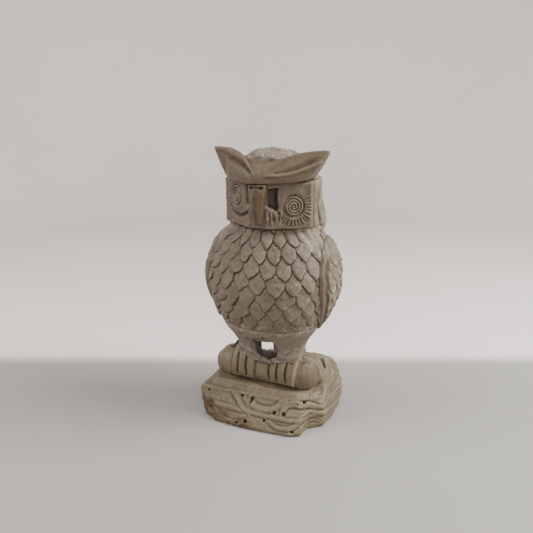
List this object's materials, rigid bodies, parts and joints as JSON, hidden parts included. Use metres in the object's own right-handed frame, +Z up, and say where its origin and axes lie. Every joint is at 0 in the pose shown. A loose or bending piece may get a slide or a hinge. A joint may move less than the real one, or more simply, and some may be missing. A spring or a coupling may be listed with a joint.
{
  "type": "owl figurine",
  "caption": "Stone owl standing on a log, with spread brow tufts, ringed eyes, feathered breast, folded wings and a carved rock base.",
  "frame": {"origin": "middle of the flat underside of the base, on the surface the figurine stands on", "axes": "+Z up; the owl faces -Y; +X is the owl's own left, along the log"},
  "size_m": [0.061, 0.0505, 0.12],
  "materials": {
    "carved_stone": "dry hand-carved soapstone with tool marks and pale dust in the cuts",
    "polished_stone": "hand-polished soapstone, satin",
    "base_stone": "waxed soapstone with low relief, satin",
    "rough_stone": "unpolished soapstone, stippled and dusty"
  },
  "bodies": {
    "root": {"head": "carved_stone", "neck_collar": "carved_stone", "left_eye": "carved_stone", "right_eye": "carved_stone", "breast": "carved_stone", "left_thigh": "carved_stone", "right_thigh": "carved_stone", "left_leg": "carved_stone", "right_leg": "carved_stone", "log_ledge": "carved_stone", "beak": "polished_stone", "forehead": "polished_stone", "left_brow_tuft": "polished_stone", "right_brow_tuft": "polished_stone", "base_rock": "base_stone", "left_bank": "base_stone", "right_bank": "base_stone", "perch_log": "base_stone", "left_foot": "base_stone", "right_foot": "base_stone", "left_toe_1": "base_stone", "left_toe_2": "base_stone", "left_toe_3": "base_stone", "right_toe_1": "base_stone", "right_toe_2": "base_stone", "right_toe_3": "base_stone", "crown": "rough_stone", "back": "rough_stone", "left_wing": "rough_stone", "right_wing": "rough_stone", "tail": "rough_stone"}
  },
  "joints": []
}
